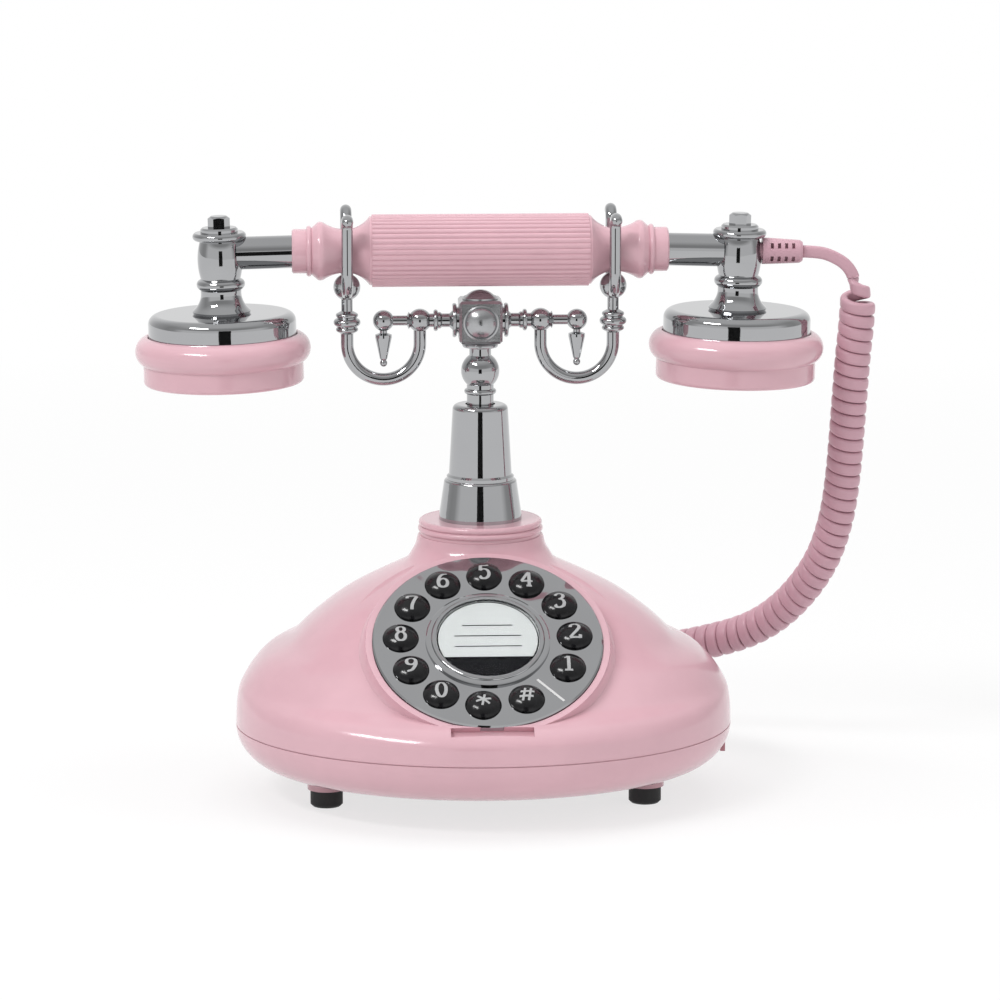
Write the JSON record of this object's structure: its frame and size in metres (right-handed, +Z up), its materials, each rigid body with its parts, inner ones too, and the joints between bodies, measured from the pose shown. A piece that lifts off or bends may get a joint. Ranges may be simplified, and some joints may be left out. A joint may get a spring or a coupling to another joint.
{
  "type": "pedestal cradle telephone",
  "caption": "Pedestal cradle telephone: bell-shaped base with push keys in a dial ring, chrome pillar and hook cradle, lift-off handset on a curly cord.",
  "frame": {"origin": "on the table, under the middle of the oval base", "axes": "+X to the right along the handset, +Y to the back, +Z up"},
  "size_m": [0.258, 0.1692, 0.2014],
  "materials": {
    "pink_plastic": "polished moulded plastic",
    "chrome": "bright plating",
    "key_black": "gloss",
    "rubber": "matte",
    "steel": "zinc plated",
    "circuit_board": "lacquered",
    "inner_plastic": "moulded",
    "slider_plastic": "gloss",
    "card": "printed paper",
    "clear_lens": "clear",
    "cord_plastic": "soft vinyl",
    "plug_plastic": "clear moulded"
  },
  "bodies": {
    "base": {"base_pan": "pink_plastic", "base_shell": "pink_plastic", "dial_plate": "chrome", "dial_bezel": "chrome", "pillar_cone": "chrome", "rubber_feet": "rubber", "key_membrane": "rubber", "base_screws": "steel", "ballast_plate": "steel", "dial_screws": "steel", "pillar_nut": "steel", "spring_seat": "steel", "hook_spring": "steel", "ringer_speaker": "steel", "main_board": "circuit_board", "keypad_board": "circuit_board", "hook_microswitch": "inner_plastic", "ringer_switch": "inner_plastic", "line_jack": "inner_plastic", "handset_jack": "inner_plastic", "pillar_bush": "inner_plastic", "number_card": "card", "card_lens": "clear_lens", "handset_cord": "cord_plastic", "cord_plug": "plug_plastic"},
    "cradle": {"cradle_stem": "chrome", "plunger_clip": "steel", "cradle_block": "chrome", "cradle_arms": "chrome", "pendant_drops": "chrome", "hook_left": "chrome", "hook_right": "chrome", "fork_left": "chrome", "fork_right": "chrome"},
    "handset": {"handle_grip": "pink_plastic", "handle_collars": "pink_plastic", "arm_tubes": "chrome", "ear_post": "chrome", "mouth_post": "chrome", "post_nuts": "chrome", "ear_cup": "chrome", "mouth_cup": "chrome", "ear_cap": "pink_plastic", "mouth_cap": "pink_plastic", "receiver_capsule": "steel", "microphone_capsule": "steel", "cord_boot": "cord_plastic"},
    "ringer_slider": {"switch_slider": "slider_plastic"},
    "key_1": {"key_1": "key_black"},
    "key_2": {"key_2": "key_black"},
    "key_3": {"key_3": "key_black"},
    "key_4": {"key_4": "key_black"},
    "key_5": {"key_5": "key_black"},
    "key_6": {"key_6": "key_black"},
    "key_7": {"key_7": "key_black"},
    "key_8": {"key_8": "key_black"},
    "key_9": {"key_9": "key_black"},
    "key_0": {"key_0": "key_black"},
    "key_star": {"key_star": "key_black"},
    "key_hash": {"key_hash": "key_black"}
  },
  "joints": [
    {"name": "handset_lift", "type": "slide", "parent": "base", "child": "handset", "axis": [0, 0, 1], "range_m": [0, 0.06], "deforming": ["handset_cord"]},
    {"name": "hook_slide", "type": "slide", "parent": "base", "child": "cradle", "axis": [0, 0, 1], "range_m": [0, 0.004], "deforming": ["hook_spring"]},
    {"name": "ringer_slide", "type": "slide", "parent": "base", "child": "ringer_slider", "axis": [0, 1, 0], "range_m": [0, 0.006]},
    {"name": "key_1_press", "type": "slide", "parent": "base", "child": "key_1", "axis": [0, 0.5807, -0.8141], "range_m": [0, 0.0015], "stiffness_N_per_m": 330, "springref_m": -0.001},
    {"name": "key_2_press", "type": "slide", "parent": "base", "child": "key_2", "axis": [0, 0.5807, -0.8141], "range_m": [0, 0.0015], "stiffness_N_per_m": 330, "springref_m": -0.001},
    {"name": "key_3_press", "type": "slide", "parent": "base", "child": "key_3", "axis": [0, 0.5807, -0.8141], "range_m": [0, 0.0015], "stiffness_N_per_m": 330, "springref_m": -0.001},
    {"name": "key_4_press", "type": "slide", "parent": "base", "child": "key_4", "axis": [0, 0.5807, -0.8141], "range_m": [0, 0.0015], "stiffness_N_per_m": 330, "springref_m": -0.001},
    {"name": "key_5_press", "type": "slide", "parent": "base", "child": "key_5", "axis": [0, 0.5807, -0.8141], "range_m": [0, 0.0015], "stiffness_N_per_m": 330, "springref_m": -0.001},
    {"name": "key_6_press", "type": "slide", "parent": "base", "child": "key_6", "axis": [0, 0.5807, -0.8141], "range_m": [0, 0.0015], "stiffness_N_per_m": 330, "springref_m": -0.001},
    {"name": "key_7_press", "type": "slide", "parent": "base", "child": "key_7", "axis": [0, 0.5807, -0.8141], "range_m": [0, 0.0015], "stiffness_N_per_m": 330, "springref_m": -0.001},
    {"name": "key_8_press", "type": "slide", "parent": "base", "child": "key_8", "axis": [0, 0.5807, -0.8141], "range_m": [0, 0.0015], "stiffness_N_per_m": 330, "springref_m": -0.001},
    {"name": "key_9_press", "type": "slide", "parent": "base", "child": "key_9", "axis": [0, 0.5807, -0.8141], "range_m": [0, 0.0015], "stiffness_N_per_m": 330, "springref_m": -0.001},
    {"name": "key_0_press", "type": "slide", "parent": "base", "child": "key_0", "axis": [0, 0.5807, -0.8141], "range_m": [0, 0.0015], "stiffness_N_per_m": 330, "springref_m": -0.001},
    {"name": "key_star_press", "type": "slide", "parent": "base", "child": "key_star", "axis": [0, 0.5807, -0.8141], "range_m": [0, 0.0015], "stiffness_N_per_m": 330, "springref_m": -0.001},
    {"name": "key_hash_press", "type": "slide", "parent": "base", "child": "key_hash", "axis": [0, 0.5807, -0.8141], "range_m": [0, 0.0015], "stiffness_N_per_m": 330, "springref_m": -0.001}
  ],
  "couplings": [
    {"joint": "hook_slide", "follows": "handset_lift", "ratio": 0.066666}
  ]
}
